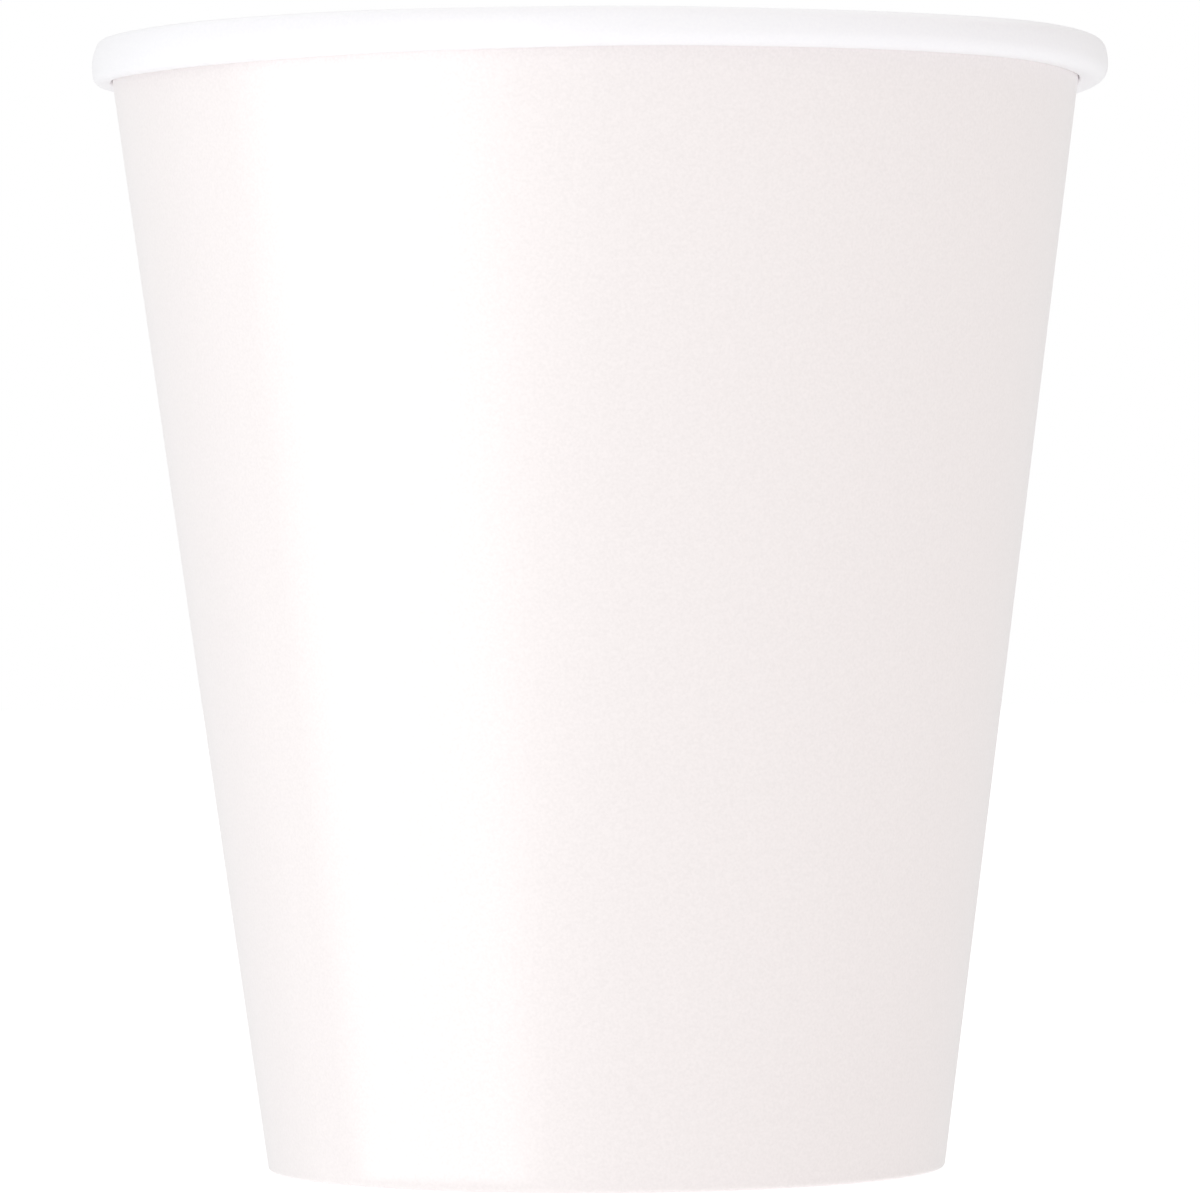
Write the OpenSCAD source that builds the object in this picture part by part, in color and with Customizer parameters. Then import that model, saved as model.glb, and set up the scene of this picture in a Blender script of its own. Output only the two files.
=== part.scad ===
// Paper cup for cold drinks: a rolled side wall with a lap seam, a curled rim and a turned-in
// hem, and a base disc whose skirt is held between the wall and the hem.
// The origin is at the middle of the foot, +Z points up, and the lap seam faces +Y.

/* [Cup] */
// Height from the table to the top of the rim
height = 88.6; // [60:0.2:140]
// Outside diameter of the wall, carried down to the table
foot_d = 53.2; // [40:0.2:62]
// Outside diameter of the wall, just under the rim
top_d = 76; // [66:0.2:92]

/* [Board] */
// Thickness of the side wall's board
board_t = 0.3; // [0.2:0.05:0.45]
// Thickness of the base disc's board
base_t = 0.25; // [0.2:0.05:0.4]
// Width of the lap seam, where the side wall's two ends are glued together
lap_w = 6.5; // [4:0.5:10]
// How far the glued seam presses its two layers into each other
seam_press = 0.02; // [0.01:0.01:0.05]

/* [Rim] */
// Height of the rim's roll
roll_h = 3.1; // [2.9:0.05:3.4]
// Outside radius of the roll's top and bottom bends
roll_bend_r = 0.95; // [0.85:0.05:1.2]
// Outside radius of the roll's outer side
roll_side_r = 2.2; // [2:0.1:4]
// Outside radius of the last bend, which tucks the free edge up inside the roll
tuck_r = 0.6; // [0.55:0.05:0.7]
// Length of the free edge that stands up inside the roll
tuck_l = 0.4; // [0.2:0.1:0.6]
// Gap between the tucked edge and the wall
tuck_gap = 0.04; // [0.02:0.01:0.08]

/* [Foot] */
// Height from the table to the underside of the floor
recess_h = 7; // [5:0.25:12]
// Outside radius of the floor's edge, where it turns down into the skirt
floor_edge_r = 0.9; // [0.6:0.05:1.4]
// Gap between the underside of the floor and the hem's top edge
hem_gap = 0.9; // [0.8:0.1:2]
// Inside radius of the two bends that turn the wall in at the foot
fold_r = 0.12; // [0.08:0.01:0.18]
// Gap between the skirt's lower edge and the fold below it
skirt_gap = 0.5; // [0.3:0.1:2]
// Clearance between the skirt and the board on each side of it
skirt_fit = 0.02; // [0.01:0.01:0.05]

/* [Hidden] */
$fn = 128;

wall_color = "snow";
floor_color = "white";
seam_azimuth = 90;
// Largest angle between two points of a bend
bend_step = 12;

// Lean of the wall from the vertical, and the board's thickness measured level
lean = atan((top_d - foot_d) / 2 / (height - roll_h));
level_t = board_t / cos(lean);

// Radius of the wall's middle line at a height, and the unit vectors up and out of the wall
function wall_r(z) = foot_d / 2 - level_t / 2 + z * tan(lean);
up = [sin(lean), cos(lean)];
out = [cos(lean), -sin(lean)];

// Point at an angle on a circle about a centre
function on_arc(centre, r, angle) = centre + r * [cos(angle), sin(angle)];

// The roll's bends, each by its centre, middle radius and the angles where it starts and ends
bend_r = roll_bend_r - board_t / 2;
side_r = roll_side_r - board_t / 2;
tuck_mid_r = tuck_r - board_t / 2;
side_half = asin((roll_h / 2 - roll_bend_r) / (roll_side_r - roll_bend_r));
roll_start_z = height - roll_bend_r + bend_r * sin(lean);
roll_start = [wall_r(roll_start_z), roll_start_z];
top_centre = roll_start + bend_r * out;
side_centre = on_arc(top_centre, bend_r - side_r, side_half);
bottom_centre = top_centre - [0, roll_h - 2 * roll_bend_r];
// How far the bottom bend's centre lies from the wall's outer face
bottom_reach = (bottom_centre - roll_start) * out - board_t / 2;
tuck_turn = acos((tuck_r + tuck_gap - bottom_reach) / (bend_r - tuck_mid_r));
tuck_start = -lean - tuck_turn;
tuck_centre = on_arc(bottom_centre, bend_r - tuck_mid_r, tuck_start);
tuck_end = tuck_centre - tuck_mid_r * out;

// The foot: the pocket between the wall and the hem holds the skirt, and one board more,
// because the wall moves out by one thickness on its way round to the lap
pocket = base_t + board_t + 2 * skirt_fit;
fold_mid_r = fold_r + board_t / 2;
fold_z = board_t / 2 + fold_mid_r;
outer_fold = [wall_r(fold_z) - fold_mid_r / cos(lean), fold_z];
inner_fold = outer_fold - [(pocket + board_t - 2 * fold_mid_r) / cos(lean), 0];
foot_start = outer_fold + fold_mid_r * out;
hem_start = inner_fold - fold_mid_r * out;
hem_end = hem_start + (recess_h - hem_gap - hem_start.y) / up.y * up;

// The base disc: the skirt's middle line lies along the wall's inner face
skirt_in = (board_t + base_t) / 2 + skirt_fit;
edge_mid_r = floor_edge_r - base_t / 2;
edge_z = recess_h + base_t - floor_edge_r;
edge_centre = [wall_r(edge_z) - (skirt_in + edge_mid_r) / cos(lean), edge_z];
skirt_top = edge_centre + edge_mid_r * out;
skirt_end = skirt_top - (skirt_top.y - board_t - skirt_gap) / up.y * up;

// The lap seam, as an angle about the cup's axis, and half of how far out its outer layer
// lies, in whole thousandths of a millimetre so that the sheet's sectors meet exactly
lap = lap_w / (PI * (foot_d + top_d) / 2) * 360;
half_layer = round(1000 * (level_t - seam_press) / 2) / 1000;

// Points of a bend about a centre, from one angle to another
function bend(centre, r, from, to) =
    let (steps = ceil(abs(to - from) / bend_step))
    [for (i = [0:steps]) on_arc(centre, r, from + i * (to - from) / steps)];

// One face of the side wall's board, at a distance from its middle line, from the hem's edge
// down to the foot, up the wall, over the rim and round to the tucked edge
function wall_face(s) = concat(
    [hem_end + s * out],
    bend(inner_fold, fold_mid_r - s, 180 - lean, 270),
    bend(outer_fold, fold_mid_r - s, 270, 360 - lean),
    bend(top_centre, bend_r + s, 180 - lean, side_half),
    bend(side_centre, side_r + s, side_half, -side_half),
    bend(bottom_centre, bend_r + s, -side_half, tuck_start),
    bend(tuck_centre, tuck_mid_r + s, tuck_start, -180 - lean),
    [tuck_end + tuck_l * up - s * out]
);

// One face of the base disc's board, from the middle of the floor to the skirt's edge
function base_face(s) = concat(
    [[0, recess_h + base_t / 2 + s]],
    bend(edge_centre, edge_mid_r + s, 90, -lean),
    [skirt_end + s * out]
);

function reversed(points) = [for (i = [len(points) - 1:-1:0]) points[i]];

module wall_section() {
    polygon(concat(wall_face(board_t / 2), reversed(wall_face(-board_t / 2))));
}

module base_section() {
    polygon(concat(base_face(base_t / 2), reversed(base_face(-base_t / 2))));
}

// One sheet that runs once round and past its own start, moving out by one layer on the way,
// so that its outer end lies on its inner end at the lap seam
module side_wall() {
    color(wall_color) rotate(seam_azimuth) {
        rotate_extrude(angle = lap) union() {
            wall_section();
            translate([2 * half_layer, 0]) wall_section();
        }
        rotate_extrude(start = lap, angle = 180 - lap) wall_section();
        translate([half_layer, 0, 0]) rotate_extrude(start = 180, angle = 180)
            translate([half_layer, 0]) wall_section();
    }
}

module base_disc() {
    color(floor_color) rotate_extrude() base_section();
}

side_wall();
base_disc();
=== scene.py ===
"""The looks of a white paper cup: the rolled and seamed side wall, the base disc, their board,
and the studio that the cup stands in. Lengths are in millimetres until a mesh is made, unless
a comment says that they are in metres."""

import math

import bmesh
import bpy
from mathutils import Matrix, Vector


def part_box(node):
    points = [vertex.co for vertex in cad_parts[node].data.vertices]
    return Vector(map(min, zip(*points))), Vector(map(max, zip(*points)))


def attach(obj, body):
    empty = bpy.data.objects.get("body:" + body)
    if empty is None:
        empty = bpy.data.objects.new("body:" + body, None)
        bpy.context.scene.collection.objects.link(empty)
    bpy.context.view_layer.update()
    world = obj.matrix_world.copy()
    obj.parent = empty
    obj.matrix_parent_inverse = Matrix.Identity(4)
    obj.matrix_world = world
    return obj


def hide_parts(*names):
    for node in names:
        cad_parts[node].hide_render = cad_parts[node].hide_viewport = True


MM = 0.001

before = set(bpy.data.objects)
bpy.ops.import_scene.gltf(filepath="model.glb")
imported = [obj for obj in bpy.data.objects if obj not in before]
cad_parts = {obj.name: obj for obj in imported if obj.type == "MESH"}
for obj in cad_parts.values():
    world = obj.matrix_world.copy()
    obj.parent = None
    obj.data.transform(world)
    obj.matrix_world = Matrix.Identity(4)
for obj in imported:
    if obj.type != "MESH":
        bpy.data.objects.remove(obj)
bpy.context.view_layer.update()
wall_low, wall_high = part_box("side_wall")
disc_low, disc_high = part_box("base_disc")

# The cup's outline, from the frame: its height, the rim's reach and the floor's height
HEIGHT = wall_high.z / MM
RIM_R = -wall_low.x / MM
FLOOR_TOP = disc_high.z / MM
SKIRT_BOTTOM = disc_low.z / MM

# The board and the way it is folded. The roll's outer side is nearly flat, and faces up a
# little: its tilt is in degrees.
WALL_T = 0.3
DISC_T = 0.25
FOOT_R = 26.6
ROLL_H = 3.1
ROLL_SIDE_R = 4.0
ROLL_TILT = 6
ROLL_PROUD = 2.035
TUCK_R = 0.38
TUCK_TIGHTER = 0.07
TUCK_GAP = 0.04
TUCK_L = 0.4
FOLD_R = 0.12
FLOOR_EDGE_R = 0.9
HEM_GAP = 0.9
SKIRT_FIT = 0.02
LAP_W = 6.5
LAP_FIT = 0.02
TOP_R = RIM_R - ROLL_PROUD
# What one end of the sheet takes where it is folded round the other, and how far out it lies
NEST = WALL_T + LAP_FIT
LAYER = WALL_T + LAP_FIT / 2

# Where the sheet's inner end lies, in degrees about the axis, and the lap's angle
SEAM_AT = 90
LAP = math.degrees(LAP_W / ((FOOT_R + TOP_R) / 2))
# How far from the lap, in degrees, the folds and the roll settle to their usual size
SETTLE = 18

# The search for the roll's bends: their least outside radius, how much less than half the
# roll's height they stay, and how many times the range is halved
BEND_LEAST = 0.4
BEND_SPARE = 0.01
BEND_HALVINGS = 25

# Small faults of a real cup: the wall's mouth sits a little off the rim's middle, the roll
# stands a little over its plain height, reach and size, and the rim isn't quite even. Each
# wave has a count round the cup, a size and a start in radians.
MOUTH_SHIFT = 0.36
ROLL_UP = 0.08
ROLL_OUT = 0.05
ROLL_MORE = 0.05
ROLL_RISE = ((1, 0.070, 4.71), (2, 0.180, 1.57))
ROLL_TALLER = ((1, 0.060, 1.57), (2, 0.350, 0.54))
ROLL_WIDER = ((1, 0.080, 1.57), (2, 0.020, 0.7), (7, 0.018, 3.1), (11, 0.012, 5.2))
WANDER = ((3, 0.030, 1.3), (5, 0.022, 4.0), (8, 0.016, 0.4), (13, 0.010, 2.2))

# How many faces each stretch of the board takes, along its section and round the cup
HEM_FACES = 6
FOLD_FACES = 6
WALL_FACES = 40
TOP_BEND_FACES = 14
ROLL_SIDE_FACES = 6
BOTTOM_BEND_FACES = 9
TUCK_FACES = 6
WALL_FACES_ROUND = 260
FLOOR_FACES = 24
FLOOR_EDGE_FACES = 10
SKIRT_FACES = 6
DISC_FACES_ROUND = 180
# Points closer than this, in metres, are merged
MERGE = 1e-7
# Edges sharper than this, in degrees, stay crisp: the board's cut edges
CRISP_ANGLE = 50

# Refraction of the board's coatings, for their gloss
COATING_IOR = 1.5
# The part of a noise's range over which a board's colour drifts, and how fine each noise is
MOTTLE_FROM, MOTTLE_TO = 0.3, 0.7
MOTTLE_DETAIL = 2
GRAIN_DETAIL = 5

# The table top: its width in metres, its colour for the light that it gives, and its colour
# and glow where it is seen directly
TABLE_SIZE = 6
TABLE_LIGHT = "#B0B0B0"
TABLE_SEEN = "#A0A0A0"
TABLE_SEEN_GLOW = 0.8

# The studio's cards: how far from the axis they start, how high over the table they lie, the
# angle of one face, and the angle over which they fade in from their sides
CARD_FROM_R = 26.7
CARD_Z = 0.05
CARD_STEP = 3
CARD_FADE = 15.5
# How far out each kind of card lies on the table, and how high it then stands up
LOW_CARD_REACH, LOW_CARD_HEIGHT = 900, 150
TALL_CARD_REACH, TALL_CARD_HEIGHT = 450, 400
# The bright card's fins: where they start and end, the least gap between two, how fast the
# gaps grow, and their height as a share of the gap
FIN_FROM = 2
FIN_TO = 150
FIN_GAP = 1
FIN_SPREAD = 0.1
FIN_SLOPE = 0.38
# The flag: how far out it becomes opaque and in how many faces, how far it reaches, and how
# high it stands
FLAG_FADE = 5
FLAG_FADE_FACES = 8
FLAG_REACH = 900
FLAG_HEIGHT = 110

# Camera: where it stands, what it looks at, its lens and its lean, and how far it sees in metres
CAMERA_AT = (0, -570.1, 43.2)
CAMERA_AIM = (-0.18, 0, 44.85)
CAMERA_LENS = 216.3
CAMERA_SENSOR = 36
CAMERA_LEAN = -0.35
CAMERA_CLIP = 20
# The height that the lamp points at
LAMP_AIM_Z = 45


def waves(table, angle):
    """A slow wander round the cup: the sum of a few waves, each by its count, size and start."""
    return sum(size * math.sin(count * math.radians(angle) + start) for count, size, start in table)


def eased(x):
    """0 below 0 and 1 above 1, with a smooth rise between."""
    x = min(1.0, max(0.0, x))
    return x * x * (3 - 2 * x)


def on_arc(centre, radius, angle):
    """The point of a circle at an angle in degrees."""
    a = math.radians(angle)
    return (centre[0] + radius * math.cos(a), centre[1] + radius * math.sin(a))


def arc(centre, radius, start, end, steps):
    """Points on a circle, from one angle in degrees to another."""
    return [on_arc(centre, radius, start + (end - start) * i / steps) for i in range(steps + 1)]


def line(start, end, steps):
    """Points between two ends, without the ends."""
    return [
        (start[0] + (end[0] - start[0]) * i / steps, start[1] + (end[1] - start[1]) * i / steps)
        for i in range(1, steps)
    ]


def moved(point, along, distance):
    """The point that lies a distance away along a unit vector."""
    return (point[0] + along[0] * distance, point[1] + along[1] * distance)


def leaning(angle):
    """The wall's lean from the vertical, in radians, on one side of the cup."""
    mouth = TOP_R - MOUTH_SHIFT * math.cos(math.radians(angle))
    return math.atan((mouth - FOOT_R) / (HEIGHT - ROLL_H))


def roll_bends(start_at, lean, top, height, side_r, reach):
    """Where the wall's middle line turns into the roll, the outside radius of the roll's top
    and bottom bends at which its outer side reaches that far from the cup's axis, and half the
    angle that the outer side takes."""
    low, high = BEND_LEAST, height / 2 - BEND_SPARE
    for _ in range(BEND_HALVINGS):
        bend = (low + high) / 2
        bend_mid = bend - WALL_T / 2
        z = top - bend + bend_mid * math.sin(lean)
        tilt = math.radians(ROLL_TILT)
        side_half = math.asin((height / 2 - bend) / (side_r - bend) / math.cos(tilt))
        found = start_at(z) + bend_mid * math.cos(lean) + side_r
        found -= (side_r - bend) * math.cos(side_half + tilt)
        low, high = (bend, high) if found < reach else (low, bend)
    return (start_at(z), z), bend, math.degrees(side_half)


def wall_sheet(turn):
    """The wall's board where the sheet has gone round by an angle in degrees from its inner end.

    Returns the sheet's two faces as points (radius, height), film-coated face first, from the
    hem's cut edge down to the foot, up the wall, over the roll and round to the tucked edge."""
    angle = SEAM_AT + turn
    at_start = 1 - eased((turn - LAP) / SETTLE)
    at_end = eased((turn - 360 + SETTLE) / SETTLE)

    # The sheet moves out by one layer on its way round to the lap
    shift = 0 if turn <= 180 else LAYER / 2 * (1 + math.cos(math.radians(min(turn, 360))))
    lean = leaning(angle)
    tilt = math.degrees(lean)
    up = (math.sin(lean), math.cos(lean))
    out = (math.cos(lean), -math.sin(lean))
    half = WALL_T / 2

    def middle(z):
        """The radius of the wall's middle line at a height."""
        return FOOT_R - half / math.cos(lean) + shift + z * math.tan(lean)

    # The roll: at the lap the inner end's roll wraps round the outer end's. Its underside runs
    # back to the wall, and the free edge is tucked up there.
    top = HEIGHT + ROLL_UP + waves(ROLL_RISE + WANDER, angle) - NEST * at_end
    reach = RIM_R + ROLL_OUT + waves(ROLL_WIDER, angle) + WALL_T * at_start - LAP_FIT * at_end
    roll_h = ROLL_H + ROLL_MORE + waves(ROLL_TALLER, angle) - 2 * NEST * at_end
    side_r = ROLL_SIDE_R - NEST * at_end
    roll_start, bend, side_half = roll_bends(middle, lean, top, roll_h, side_r, reach)
    bend_mid = bend - half
    side_mid = side_r - half
    tuck_mid = TUCK_R - half - TUCK_TIGHTER * at_end
    gap = TUCK_GAP + (LAYER - LAP_FIT) * (at_start + at_end)
    side_from, side_to = ROLL_TILT + side_half, ROLL_TILT - side_half
    top_centre = moved(roll_start, out, bend_mid)
    side_centre = on_arc(top_centre, bend_mid - side_mid, side_from)
    bottom_centre = on_arc(side_centre, side_mid - bend_mid, side_to)
    bottom_x, bottom_z = bottom_centre[0] - roll_start[0], bottom_centre[1] - roll_start[1]
    across = bottom_x * out[0] + bottom_z * out[1]
    under = -90 - tilt
    tuck_centre = on_arc(bottom_centre, bend_mid - tuck_mid, under)
    tuck_centre = moved(tuck_centre, out, WALL_T + gap + tuck_mid - across)
    tuck_end = moved(tuck_centre, out, -tuck_mid)

    # The foot: at the lap the outer end wraps round the inner end
    pocket = DISC_T + WALL_T + 2 * SKIRT_FIT + 2 * NEST * at_end
    fold_mid = FOLD_R + half + NEST * at_end
    fold_z = half + fold_mid + NEST * at_start
    outer_fold = (middle(fold_z) - fold_mid / math.cos(lean), fold_z)
    inner_fold = (outer_fold[0] - (pocket + WALL_T - 2 * fold_mid) / math.cos(lean), fold_z)
    hem_start = moved(inner_fold, out, -fold_mid)
    hem_top = FLOOR_TOP - DISC_T - HEM_GAP + waves(WANDER, 3 * angle)
    hem_end = moved(hem_start, up, (hem_top - hem_start[1]) / up[1])
    wall_start = moved(outer_fold, out, fold_mid)

    faces = []
    for s in (half, -half):
        hem = [moved(hem_end, out, s), moved(hem_start, out, s)]
        wall = [moved(wall_start, out, -s), moved(roll_start, out, -s)]
        tucked = [moved(tuck_end, out, -s), moved(moved(tuck_end, up, TUCK_L), out, -s)]
        faces.append(
            hem[:1]
            + line(hem[0], hem[1], HEM_FACES)
            + arc(inner_fold, fold_mid - s, 180 - tilt, 270, FOLD_FACES)
            + arc(outer_fold, fold_mid - s, 270, 360 - tilt, FOLD_FACES)
            + line(wall[0], wall[1], WALL_FACES)
            + arc(top_centre, bend_mid + s, 180 - tilt, side_from, TOP_BEND_FACES)
            + arc(side_centre, side_mid + s, side_from, side_to, ROLL_SIDE_FACES)[1:]
            + arc(bottom_centre, bend_mid + s, side_to, under, BOTTOM_BEND_FACES)[1:]
            + arc(tuck_centre, tuck_mid + s, under, under - 90, TUCK_FACES)
            + tucked[1:]
        )
    return faces


def sweep(name, sections, angles, closed, materials):
    """A mesh from board sections at angles about the axis. Each section is two faces of the
    board, and the mesh gets one material on each face and a third on the cut edges."""
    count = len(sections[0][0])
    points = []
    for (first, second), angle in zip(sections, angles):
        loop = first + second[::-1]
        c, s = math.cos(math.radians(angle)), math.sin(math.radians(angle))
        points += [(r * c * MM, r * s * MM, z * MM) for r, z in loop]
    around = 2 * count
    faces = []
    kinds = []
    first_face, second_face, cut_edge = range(3)
    rings = len(sections)
    for i in range(rings if closed else rings - 1):
        here, there = i * around, (i + 1) % rings * around
        for j in range(around):
            k = (j + 1) % around
            faces.append((here + j, there + j, there + k, here + k))
            if j in (count - 1, around - 1):
                kinds.append(cut_edge)
            else:
                kinds.append(first_face if j < count else second_face)
    if not closed:
        last = (rings - 1) * around
        for j in range(count - 1):
            a, b, c, d = j, j + 1, around - 2 - j, around - 1 - j
            faces.append((a, b, c, d))
            faces.append((last + d, last + c, last + b, last + a))
            kinds += [cut_edge, cut_edge]
    mesh = bpy.data.meshes.new(name)
    mesh.from_pydata(points, [], faces)
    for material in materials:
        mesh.materials.append(material)
    mesh.polygons.foreach_set("material_index", kinds)
    mesh.polygons.foreach_set("use_smooth", [True] * len(kinds))
    work = bmesh.new()
    work.from_mesh(mesh)
    bmesh.ops.remove_doubles(work, verts=work.verts, dist=MERGE)
    bmesh.ops.recalc_face_normals(work, faces=work.faces)
    work.to_mesh(mesh)
    work.free()
    mesh.set_sharp_from_angle(angle=math.radians(CRISP_ANGLE))
    piece = bpy.data.objects.new(name, mesh)
    bpy.context.scene.collection.objects.link(piece)
    return piece


def linear(hex_colour):
    """A colour written as sRGB hex, as the linear values that shaders take."""
    channels = [int(hex_colour[i : i + 2], 16) / 255 for i in (1, 3, 5)]
    return [c / 12.92 if c <= 0.04045 else ((c + 0.055) / 1.055) ** 2.4 for c in channels] + [1]


def add(tree, kind, inputs=None, **settings):
    """A node with its settings. An input is a value, or another node's output to link."""
    made = tree.nodes.new(kind)
    for name, value in settings.items():
        setattr(made, name, value)
    for name, value in (inputs or {}).items():
        if isinstance(value, bpy.types.NodeSocket):
            tree.links.new(value, made.inputs[name])
        else:
            made.inputs[name].default_value = value
    return made


def board_material(name, colour, shade, roughness, coat, grain_mm, grain_depth_mm):
    """Coated or bare board: a colour that drifts towards a shade from fibre to fibre, and a
    fine grain of a real size and depth."""
    material = bpy.data.materials.new(name)
    material.use_nodes = True
    tree = material.node_tree
    tree.nodes.clear()
    place = add(tree, "ShaderNodeTexCoord").outputs["Object"]
    scale = 1 / (grain_mm * MM)
    mottle = add(
        tree,
        "ShaderNodeTexNoise",
        {"Vector": place, "Scale": scale, "Detail": MOTTLE_DETAIL},
    )
    drift = add(
        tree,
        "ShaderNodeMapRange",
        {"Value": mottle.outputs["Fac"], "From Min": MOTTLE_FROM, "From Max": MOTTLE_TO},
    )
    tint = add(
        tree,
        "ShaderNodeMix",
        {"Factor": drift.outputs["Result"], "A": linear(colour), "B": linear(shade)},
        data_type="RGBA",
    )
    grain = add(
        tree,
        "ShaderNodeTexNoise",
        {"Vector": place, "Scale": scale, "Detail": GRAIN_DETAIL},
    )
    bump = add(
        tree,
        "ShaderNodeBump",
        {"Strength": 1.0, "Distance": grain_depth_mm * MM, "Height": grain.outputs["Fac"]},
    )
    shader = add(
        tree,
        "ShaderNodeBsdfPrincipled",
        {
            "Base Color": tint.outputs["Result"],
            "Roughness": roughness,
            "IOR": COATING_IOR,
            "Coat Weight": coat,
            "Coat Roughness": roughness,
            "Normal": bump.outputs["Normal"],
        },
    )
    add(tree, "ShaderNodeOutputMaterial", {"Surface": shader.outputs["BSDF"]})
    return material


# The boards differ in colour, shade, roughness, coat, grain size and grain depth. A fibre is
# finer than the grain here, which is drawn as coarse as it needs to be to show.

# Clay-coated board, calendered and varnished: a satin white with a faint warm cast
CLAY_COATED = board_material("clay_coated_board", "#F7F1F1", "#F1EBEB", 0.3, 0.6, 0.22, 0.002)
# Board with a film of polythene melted onto it: a cooler and glossier white
FILM_COATED = board_material("film_coated_board", "#FAF9FC", "#F7F6FA", 0.32, 0.5, 0.25, 0.002)
# The board's cut edge: matt, fibrous and a little darker
CUT_BOARD = board_material("cut_board_edge", "#F0ECE7", "#E3DDD5", 0.85, 0, 0.12, 0.02)
# Uncoated underside of the base disc: matt white
BARE_BOARD = board_material("bare_board", "#F2EFEC", "#E9E5E0", 0.75, 0, 0.3, 0.008)


def side_wall():
    """One sheet of board from its inner end, once round the cup and over its own start."""
    turns = [(360 + LAP) * i / WALL_FACES_ROUND for i in range(WALL_FACES_ROUND + 1)]
    piece = sweep(
        "side_wall_board",
        [wall_sheet(turn) for turn in turns],
        [SEAM_AT + turn for turn in turns],
        False,
        [FILM_COATED, CLAY_COATED, CUT_BOARD],
    )
    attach(piece, "root")
    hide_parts("side_wall")


def disc_sheet(angle):
    """The disc's two faces on one side of the cup, from the middle of the floor outward, over
    the rounded edge and down the skirt."""
    lean = leaning(angle)
    out = (math.cos(lean), -math.sin(lean))
    up = (math.sin(lean), math.cos(lean))
    half = DISC_T / 2
    edge_mid = FLOOR_EDGE_R - half
    edge_z = FLOOR_TOP - FLOOR_EDGE_R
    inset = WALL_T + half + SKIRT_FIT + edge_mid
    edge_centre = (FOOT_R + edge_z * math.tan(lean) - inset / math.cos(lean), edge_z)
    skirt_top = moved(edge_centre, out, edge_mid)
    skirt_end = moved(skirt_top, up, (SKIRT_BOTTOM - skirt_top[1]) / up[1])
    faces = []
    for s in (half, -half):
        z = FLOOR_TOP - half + s
        floor = [(0.0, z), (edge_centre[0], z)]
        skirt = [moved(skirt_top, out, s), moved(skirt_end, out, s)]
        faces.append(
            floor[:1]
            + line(floor[0], floor[1], FLOOR_FACES)
            + arc(edge_centre, edge_mid + s, 90, -math.degrees(lean), FLOOR_EDGE_FACES)
            + line(skirt[0], skirt[1], SKIRT_FACES)
            + skirt[1:]
        )
    return faces


def base_disc():
    """The floor, its rounded edge and the skirt that hangs in the pocket of the wall's foot."""
    angles = [360 * i / DISC_FACES_ROUND for i in range(DISC_FACES_ROUND)]
    piece = sweep(
        "base_disc_board",
        [disc_sheet(angle) for angle in angles],
        angles,
        True,
        [FILM_COATED, BARE_BOARD, CUT_BOARD],
    )
    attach(piece, "root")
    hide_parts("base_disc")


def seen_directly(tree):
    """1 for what the camera, a gloss or a clear body shows directly, and 0 for its light."""
    path = add(tree, "ShaderNodeLightPath")
    first = add(
        tree,
        "ShaderNodeMath",
        {0: path.outputs["Is Camera Ray"], 1: path.outputs["Is Glossy Ray"]},
        operation="MAXIMUM",
    )
    return add(
        tree,
        "ShaderNodeMath",
        {0: first.outputs["Value"], 1: path.outputs["Is Transmission Ray"]},
        operation="MAXIMUM",
    ).outputs["Value"]


def studio_world(overhead, around, left, right):
    """A light tent, brighter overhead than around, whose light changes from one colour on the
    left to another on the right. It is plain white where it is seen directly."""
    world = bpy.data.worlds.new("studio")
    world.use_nodes = True
    tree = world.node_tree
    tree.nodes.clear()
    direction = add(tree, "ShaderNodeTexCoord").outputs["Generated"]
    parts = add(tree, "ShaderNodeSeparateXYZ", {"Vector": direction})
    level = add(
        tree,
        "ShaderNodeMapRange",
        {"Value": parts.outputs["Z"], "To Min": around, "To Max": overhead},
    )
    across = add(tree, "ShaderNodeMapRange", {"Value": parts.outputs["X"], "From Min": -1.0})
    colour = add(
        tree,
        "ShaderNodeMix",
        {"Factor": across.outputs["Result"], "A": linear(left), "B": linear(right)},
        data_type="RGBA",
    )
    light = add(
        tree,
        "ShaderNodeBackground",
        {"Color": colour.outputs["Result"], "Strength": level.outputs["Result"]},
    )
    seen = add(tree, "ShaderNodeBackground", {"Color": linear("#FFFFFF"), "Strength": 1.0})
    mix = add(
        tree,
        "ShaderNodeMixShader",
        {0: seen_directly(tree), 1: light.outputs["Background"], 2: seen.outputs["Background"]},
    )
    add(tree, "ShaderNodeOutputWorld", {"Surface": mix.outputs["Shader"]})
    bpy.context.scene.world = world


def studio_floor(glow_up):
    """A white table top, lit a little from below. It shows white, and keeps a soft shadow."""
    material = bpy.data.materials.new("white_table")
    material.use_nodes = True
    tree = material.node_tree
    tree.nodes.clear()
    surfaces = []
    for colour, strength in ((TABLE_LIGHT, glow_up), (TABLE_SEEN, TABLE_SEEN_GLOW)):
        top = add(tree, "ShaderNodeBsdfDiffuse", {"Color": linear(colour)})
        glow = add(tree, "ShaderNodeEmission", {"Color": linear("#FFFFFF"), "Strength": strength})
        surfaces.append(
            add(tree, "ShaderNodeAddShader", {0: top.outputs["BSDF"], 1: glow.outputs["Emission"]})
        )
    light, seen = surfaces
    mix = add(
        tree,
        "ShaderNodeMixShader",
        {0: seen_directly(tree), 1: light.outputs["Shader"], 2: seen.outputs["Shader"]},
    )
    add(tree, "ShaderNodeOutputMaterial", {"Surface": mix.outputs["Shader"]})
    bpy.ops.mesh.primitive_plane_add(size=TABLE_SIZE)
    floor = bpy.context.object
    floor.name = "table_top"
    floor.data.materials.append(material)


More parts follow.
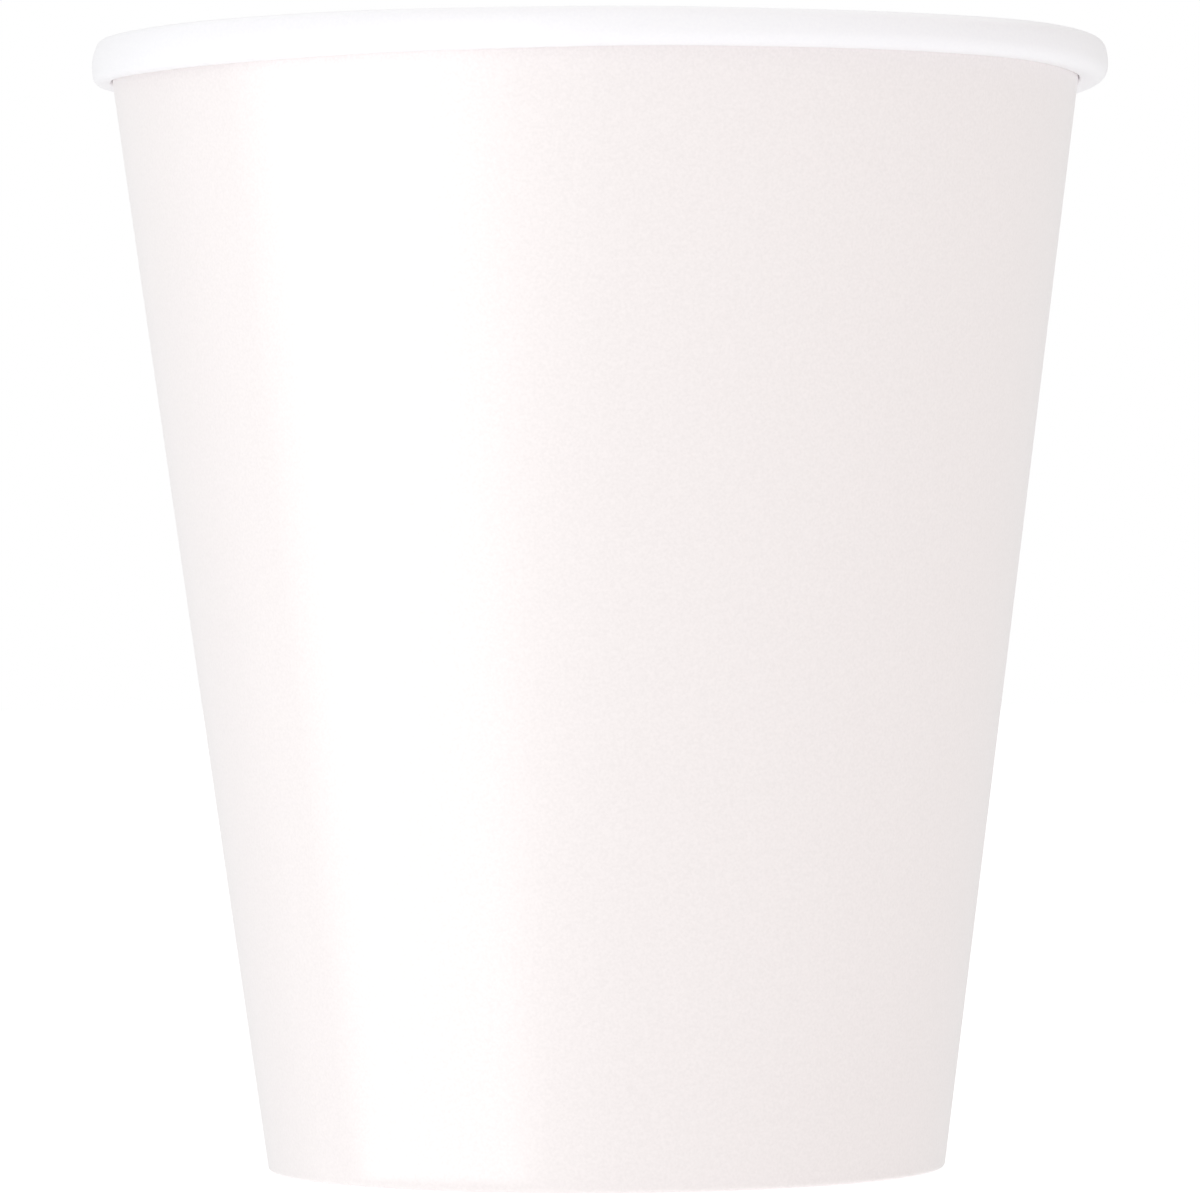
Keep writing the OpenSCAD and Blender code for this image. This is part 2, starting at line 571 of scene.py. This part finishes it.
def gloss_card(name, strips):
    """Sheets that only the board's gloss shows. Each is a list of rows of points, and a point
    has its place (x, y, z), its glow next to white, and how much it covers what is behind it."""
    material = bpy.data.materials.new(name)
    material.use_nodes = True
    tree = material.node_tree
    tree.nodes.clear()
    level = add(tree, "ShaderNodeAttribute", attribute_name="glow")
    glow = add(
        tree,
        "ShaderNodeEmission",
        {"Color": linear("#FFFFFF"), "Strength": level.outputs["Fac"]},
    )
    clear = add(tree, "ShaderNodeBsdfTransparent")
    cover = add(tree, "ShaderNodeAttribute", attribute_name="cover")
    mix = add(
        tree,
        "ShaderNodeMixShader",
        {0: cover.outputs["Fac"], 1: clear.outputs["BSDF"], 2: glow.outputs["Emission"]},
    )
    add(tree, "ShaderNodeOutputMaterial", {"Surface": mix.outputs["Shader"]})
    points = []
    faces = []
    for rows in strips:
        long = len(rows[0])
        start = len(points)
        points += [point for row in rows for point in row]
        for k in range(start, len(points) - long, long):
            faces += [(k + i, k + i + 1, k + i + 1 + long, k + i + long) for i in range(long - 1)]
    mesh = bpy.data.meshes.new(name)
    mesh.from_pydata([(x * MM, y * MM, z * MM) for x, y, z, _, _ in points], [], faces)
    glows = mesh.attributes.new("glow", "FLOAT", "POINT")
    glows.data.foreach_set("value", [point[3] for point in points])
    covers = mesh.attributes.new("cover", "FLOAT", "POINT")
    covers.data.foreach_set("value", [point[4] for point in points])
    mesh.materials.append(material)
    card = bpy.data.objects.new(name, mesh)
    card.visible_camera = False
    card.visible_diffuse = False
    card.visible_shadow = False
    bpy.context.scene.collection.objects.link(card)


def studio_card(name, middle, spread, brightness, profiles):
    """A card that fans out from the cup over a range of azimuths, counted as for the lamp. Each
    profile is a list of how far out and how high a part of it runs, and its brightness fades to
    white's towards its sides. Its inner edge lies at half the azimuth, where the wall's gloss
    would show the camera that azimuth."""
    steps = round(2 * spread / CARD_STEP)

    def card_row(reach, z):
        """The card's points at one reach and height, over its range of azimuths."""
        row = []
        for i in range(steps + 1):
            turned = spread * (2 * i / steps - 1)
            a = math.radians(middle + turned)
            x = CARD_FROM_R * math.sin(a / 2) + reach * math.sin(a)
            y = CARD_FROM_R * math.cos(a / 2) + reach * math.cos(a)
            glow = 1 + (brightness - 1) * eased((spread - abs(turned)) / CARD_FADE)
            row.append((x, -y, z, glow, 1))
        return row

    gloss_card(name, [[card_row(reach, z) for reach, z in profile] for profile in profiles])


def low_fins():
    """Profiles of low upright fins, whose gaps grow with their distance. A low view's
    reflection falls on them, and a steep one falls on the table between them."""
    fins = []
    reach, gap = FIN_FROM, FIN_FROM
    while reach < FIN_TO:
        fins.append([(reach, CARD_Z), (reach, CARD_Z + FIN_SLOPE * gap)])
        gap = max(FIN_GAP, FIN_SPREAD * reach)
        reach += gap
    return fins


def studio_flag(name, azimuth, heading, brightness):
    """A sheet that stands out from the cup's wall at one azimuth, towards another, and keeps
    the cards in front of it off the wall behind it. It is clear where it meets the wall."""
    n, h = math.radians(azimuth), math.radians(heading)
    fading = [FLAG_FADE * i / FLAG_FADE_FACES for i in range(FLAG_FADE_FACES + 1)]
    rows = []
    for z in (CARD_Z, FLAG_HEIGHT):
        r = FOOT_R + z * math.tan(leaning(azimuth - 90))
        row = []
        for out in [*fading, FLAG_REACH]:
            x = r * math.sin(n) + out * math.sin(h)
            y = r * math.cos(n) + out * math.cos(h)
            row.append((x, -y, z, brightness, eased(out / FLAG_FADE)))
        rows.append(row)
    gloss_card(name, [rows])


def soft_light(name, azimuth, elevation, distance, size, radiance):
    """A square softbox that faces the cup's middle, with its distance and size in metres.
    Azimuth 0 is the camera's side, and positive is to the right. The radiance says how bright
    it looks next to white."""
    a, e = math.radians(azimuth), math.radians(elevation)
    middle = Vector((0, 0, LAMP_AIM_Z * MM))
    away = Vector((math.sin(a) * math.cos(e), -math.cos(a) * math.cos(e), math.sin(e)))
    lamp = bpy.data.lights.new(name, "AREA")
    lamp.shape = "SQUARE"
    lamp.size = size
    lamp.energy = radiance * math.pi * size * size
    holder = bpy.data.objects.new(name, lamp)
    holder.location = middle + away * distance
    holder.rotation_euler = away.to_track_quat("Z", "Y").to_euler()
    bpy.context.scene.collection.objects.link(holder)


def camera():
    """The photograph's view: level with the cup's middle and from far off, with a long lens."""
    data = bpy.data.cameras.new("camera")
    data.lens = CAMERA_LENS
    data.sensor_width = CAMERA_SENSOR
    data.clip_end = CAMERA_CLIP
    holder = bpy.data.objects.new("camera", data)
    holder.location = Vector(CAMERA_AT) * MM
    aim = Vector(CAMERA_AIM) * MM - holder.location
    turn = aim.to_track_quat("-Z", "Y").to_matrix().to_4x4()
    turn = turn @ Matrix.Rotation(math.radians(CAMERA_LEAN), 4, "Z")
    holder.rotation_euler = turn.to_euler()
    bpy.context.scene.collection.objects.link(holder)
    bpy.context.scene.camera = holder


camera()
studio_world(overhead=1.4, around=0.46, left="#FBFFFF", right="#E2DBD7")
studio_floor(glow_up=0.735)
# The bright card makes the band down the wall's left, the dark ones dim the gloss round the
# rest of it, and the flag keeps the bright card off the wall's back
low_edge, low_top = (LOW_CARD_REACH, CARD_Z), (LOW_CARD_REACH, LOW_CARD_HEIGHT)
low_card = [*low_fins(), [(FIN_TO, CARD_Z), low_edge, low_top]]
tall_edge, tall_top = (TALL_CARD_REACH, CARD_Z), (TALL_CARD_REACH, TALL_CARD_HEIGHT)
tall_card = [[(0, CARD_Z), tall_edge, tall_top]]
studio_card("bounce_card", middle=-56.5, spread=39.5, brightness=2.45, profiles=low_card)
studio_card("dark_card_right", middle=88, spread=100, brightness=0.78, profiles=tall_card)
studio_card("dark_card_left", middle=-150, spread=38, brightness=0.83, profiles=tall_card)
studio_flag("back_flag", azimuth=-46, heading=-93, brightness=0.88)
soft_light("key", azimuth=-30, elevation=12, distance=0.7, size=0.5, radiance=0.75)
side_wall()
base_disc()

scene = bpy.context.scene
scene.view_settings.view_transform = "Standard"
